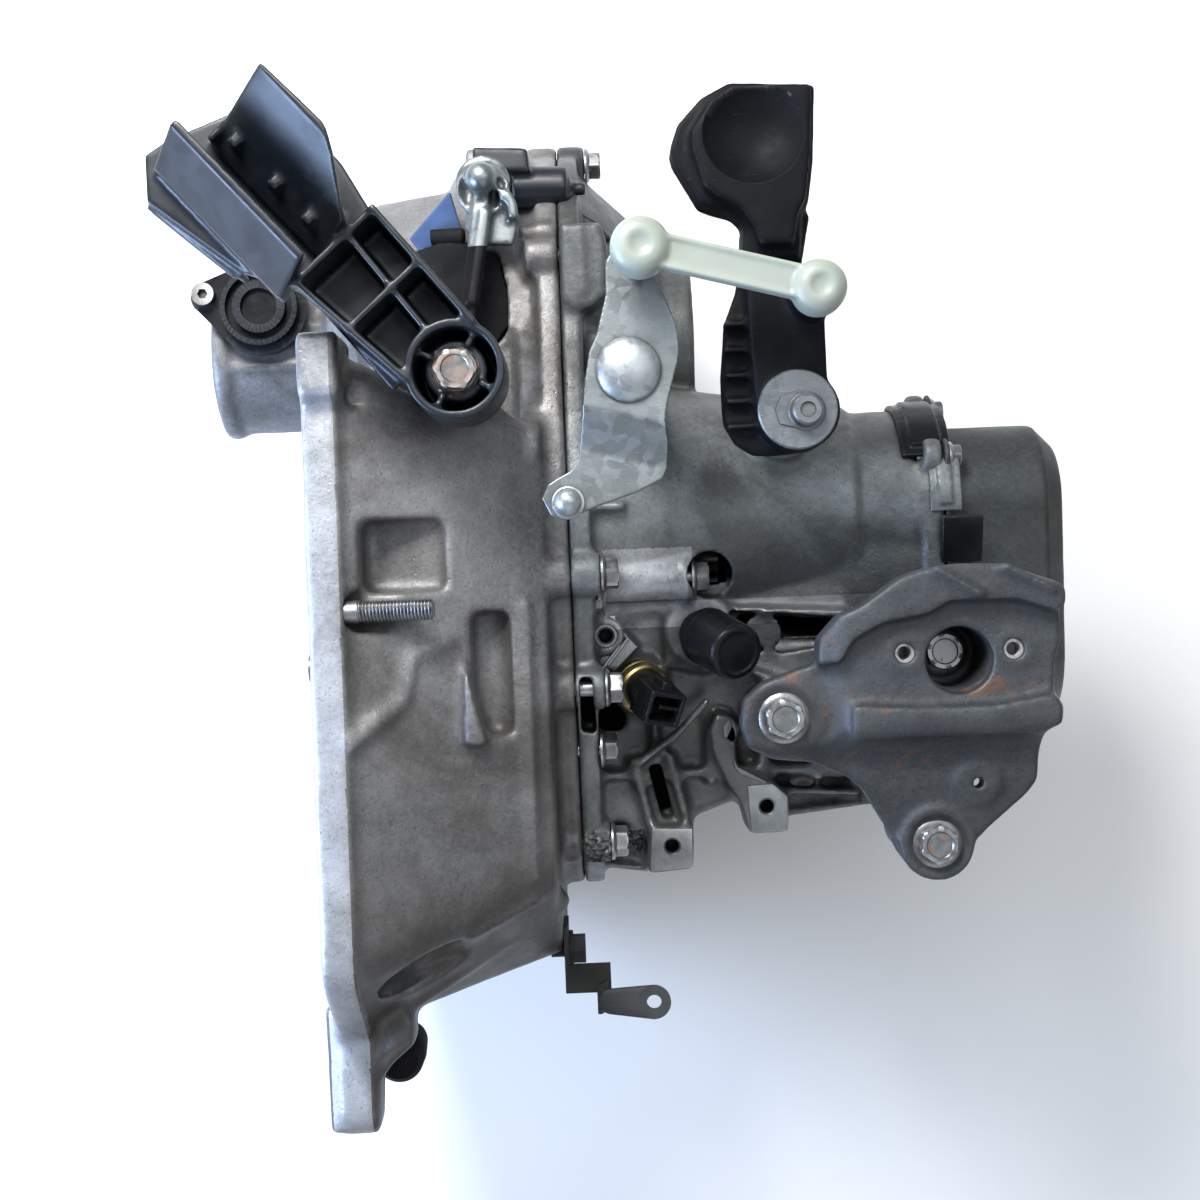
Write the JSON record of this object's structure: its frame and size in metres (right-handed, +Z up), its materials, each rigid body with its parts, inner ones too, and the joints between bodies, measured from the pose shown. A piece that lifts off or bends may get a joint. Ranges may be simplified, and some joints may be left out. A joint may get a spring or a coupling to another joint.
{
  "type": "manual transmission",
  "caption": "Transverse manual gearbox with clutch bell, differential, tapered gear case, end cover, engine mount bracket and shift linkage with cable bracket.",
  "frame": {"origin": "input shaft axis, in the plane of the engine face of the clutch bell", "axes": "+X from the engine face toward the end cover, +Y toward the rear of the car, past the differential, +Z up"},
  "size_m": [0.422, 0.472, 0.3554],
  "materials": {
    "bell_casting": "sand-cast, oil stained",
    "case_casting": "dark stained casting",
    "cover_steel": "pressed steel, dull",
    "bracket_casting": "cast, with rust marks",
    "machined_steel": "ground and oiled",
    "gear_steel": "ground teeth",
    "bolt_steel": "zinc plated, worn",
    "zinc_plate": "galvanised",
    "fork_metal": "cast",
    "differential_iron": "machined",
    "release_steel": "zinc plated",
    "black_plastic": "satin black",
    "lever_black": "black coated",
    "hanger_steel": "olive black",
    "link_plastic": "milky nylon",
    "seal_rubber": "matt"
  },
  "bodies": {
    "housing": {"clutch_housing": "bell_casting", "gear_case": "case_casting", "end_cover": "cover_steel", "case_bolts": "bolt_steel", "cover_bolts": "bolt_steel", "release_guide": "machined_steel", "oil_seals": "seal_rubber", "input_bearings": "machined_steel", "output_bearings": "machined_steel", "diff_bearings": "machined_steel", "fork_rails": "machined_steel", "reverse_idler_shaft": "machined_steel", "cable_bracket": "black_plastic", "cable_bracket_bolt": "bolt_steel", "mount_bracket": "bracket_casting", "mount_bolts": "bolt_steel", "reversing_switch": "black_plastic", "breather_cap": "black_plastic", "sensor_plug": "black_plastic", "sensor_plug_screw": "bolt_steel", "hanger_bracket": "hanger_steel", "starter_stud": "machined_steel", "bellcrank_pivot": "machined_steel", "release_pivot": "machined_steel", "fill_plug": "bolt_steel"},
    "input": {"input_shaft": "gear_steel", "input_gear_3_4": "gear_steel", "hub_5": "gear_steel", "input_inner_rings": "machined_steel"},
    "output": {"output_shaft": "gear_steel", "output_gear_5": "gear_steel", "synchro_hubs": "gear_steel", "synchro_rings": "fork_metal", "output_inner_rings": "machined_steel"},
    "differential": {"diff_case": "differential_iron", "crown_wheel": "gear_steel", "diff_inner_rings": "machined_steel", "planet_pin": "machined_steel"},
    "shift_arm": {"selector_shaft": "machined_steel", "shift_lever": "lever_black"},
    "first_gear": {"first_gear": "gear_steel"},
    "second_gear": {"second_gear": "gear_steel"},
    "third_gear": {"third_gear": "gear_steel"},
    "fourth_gear": {"fourth_gear": "gear_steel"},
    "fifth_gear": {"fifth_gear": "gear_steel"},
    "sleeve_1_2": {"sleeve_1_2": "gear_steel"},
    "sleeve_3_4": {"sleeve_3_4": "gear_steel"},
    "sleeve_5": {"sleeve_5": "gear_steel"},
    "fork_1_2": {"fork_1_2": "fork_metal"},
    "fork_3_4": {"fork_3_4": "fork_metal"},
    "fork_5": {"fork_5": "fork_metal"},
    "reverse_idler": {"reverse_idler": "gear_steel"},
    "side_gear_left": {"side_gear_left": "gear_steel"},
    "side_gear_right": {"side_gear_right": "gear_steel"},
    "planet_gear_a": {"planet_gear_a": "gear_steel"},
    "planet_gear_b": {"planet_gear_b": "gear_steel"},
    "bellcrank": {"bellcrank": "zinc_plate"},
    "link_rod": {"link_rod": "link_plastic"},
    "release_bearing": {"release_bearing": "machined_steel"},
    "release_fork": {"release_fork": "release_steel"}
  },
  "joints": [
    {"name": "input_spin", "type": "hinge", "parent": "housing", "child": "input", "pos_m": [0, 0, 0], "axis": [1, 0, 0], "continuous": true},
    {"name": "diff_spin", "type": "hinge", "parent": "housing", "child": "differential", "pos_m": [0.106, 0.16031, -0.02154], "axis": [1, 0, 0], "continuous": true},
    {"name": "output_spin", "type": "hinge", "parent": "housing", "child": "output", "pos_m": [0.15, 0.06991, 0.01499], "axis": [1, 0, 0], "continuous": true},
    {"name": "first_gear_spin", "type": "hinge", "parent": "housing", "child": "first_gear", "pos_m": [0.126, 0.06991, 0.01499], "axis": [1, 0, 0], "continuous": true},
    {"name": "second_gear_spin", "type": "hinge", "parent": "housing", "child": "second_gear", "pos_m": [0.174, 0.06991, 0.01499], "axis": [1, 0, 0], "continuous": true},
    {"name": "third_gear_spin", "type": "hinge", "parent": "housing", "child": "third_gear", "pos_m": [0.197, 0.06991, 0.01499], "axis": [1, 0, 0], "continuous": true},
    {"name": "fourth_gear_spin", "type": "hinge", "parent": "housing", "child": "fourth_gear", "pos_m": [0.245, 0.06991, 0.01499], "axis": [1, 0, 0], "continuous": true},
    {"name": "fifth_gear_spin", "type": "hinge", "parent": "housing", "child": "fifth_gear", "pos_m": [0.302, 0, 0], "axis": [1, 0, 0], "continuous": true},
    {"name": "sleeve_1_2_slide", "type": "slide", "parent": "output", "child": "sleeve_1_2", "axis": [1, 0, 0], "range_m": [-0.007, 0.007]},
    {"name": "sleeve_3_4_slide", "type": "slide", "parent": "output", "child": "sleeve_3_4", "axis": [1, 0, 0], "range_m": [-0.007, 0.007]},
    {"name": "sleeve_5_slide", "type": "slide", "parent": "input", "child": "sleeve_5", "axis": [1, 0, 0], "range_m": [-0.007, 0]},
    {"name": "fork_1_2_slide", "type": "slide", "parent": "housing", "child": "fork_1_2", "axis": [1, 0, 0], "range_m": [-0.007, 0.007]},
    {"name": "fork_3_4_slide", "type": "slide", "parent": "housing", "child": "fork_3_4", "axis": [1, 0, 0], "range_m": [-0.007, 0.007]},
    {"name": "fork_5_slide", "type": "slide", "parent": "housing", "child": "fork_5", "axis": [1, 0, 0], "range_m": [-0.007, 0]},
    {"name": "reverse_idler_spin", "type": "hinge", "parent": "housing", "child": "reverse_idler", "pos_m": [0.146, 0.016, -0.051], "axis": [1, 0, 0], "continuous": true},
    {"name": "left_drive_spin", "type": "hinge", "parent": "differential", "child": "side_gear_left", "pos_m": [0.106, 0.16031, -0.02154], "axis": [1, 0, 0], "continuous": true},
    {"name": "right_drive_spin", "type": "hinge", "parent": "differential", "child": "side_gear_right", "pos_m": [0.106, 0.16031, -0.02154], "axis": [1, 0, 0], "continuous": true},
    {"name": "planet_a_spin", "type": "hinge", "parent": "differential", "child": "planet_gear_a", "pos_m": [0.106, 0.16031, -0.02154], "axis": [0, 0, 1], "continuous": true},
    {"name": "planet_b_spin", "type": "hinge", "parent": "differential", "child": "planet_gear_b", "pos_m": [0.106, 0.16031, -0.02154], "axis": [0, 0, 1], "continuous": true},
    {"name": "bellcrank_turn", "type": "hinge", "parent": "housing", "child": "bellcrank", "pos_m": [0.142, 0.126, 0.15], "axis": [0, 0, 1], "range_deg": [-15, 15]},
    {"name": "shift_lever_turn", "type": "hinge", "parent": "housing", "child": "shift_arm", "pos_m": [0.2145, 0.1065, 0.14], "axis": [0, 0, 1], "range_deg": [-15, 15]},
    {"name": "link_turn", "type": "hinge", "parent": "bellcrank", "child": "link_rod", "pos_m": [0.148, 0.1724, 0.184], "axis": [0, 0, 1], "range_deg": [-15, 15]},
    {"name": "clutch_release", "type": "hinge", "parent": "housing", "child": "release_fork", "pos_m": [0.046, 0.078, 0.04], "axis": [0, -0.5151, 0.8571], "range_deg": [-3, 0]},
    {"name": "release_bearing_slide", "type": "slide", "parent": "housing", "child": "release_bearing", "axis": [1, 0, 0], "range_m": [-0.0055, 0]}
  ],
  "couplings": [
    {"joint": "output_spin", "follows": "diff_spin", "ratio": -3.5882},
    {"joint": "fifth_gear_spin", "follows": "diff_spin", "ratio": 2.7154},
    {"joint": "first_gear_spin", "follows": "input_spin", "ratio": -0.3},
    {"joint": "second_gear_spin", "follows": "input_spin", "ratio": -0.54762},
    {"joint": "third_gear_spin", "follows": "input_spin", "ratio": -0.80556},
    {"joint": "fourth_gear_spin", "follows": "input_spin", "ratio": -1.0312},
    {"joint": "fork_1_2_slide", "follows": "sleeve_1_2_slide", "ratio": 1},
    {"joint": "fork_3_4_slide", "follows": "sleeve_3_4_slide", "ratio": 1},
    {"joint": "fork_5_slide", "follows": "sleeve_5_slide", "ratio": 1},
    {"joint": "right_drive_spin", "follows": "left_drive_spin", "ratio": -1},
    {"joint": "planet_a_spin", "follows": "left_drive_spin", "ratio": 1.4},
    {"joint": "planet_b_spin", "follows": "left_drive_spin", "ratio": -1.4},
    {"joint": "shift_lever_turn", "follows": "bellcrank_turn", "ratio": 1},
    {"joint": "link_turn", "follows": "bellcrank_turn", "ratio": -1},
    {"joint": "release_bearing_slide", "follows": "clutch_release", "m_per_rad": 0.093295}
  ]
}
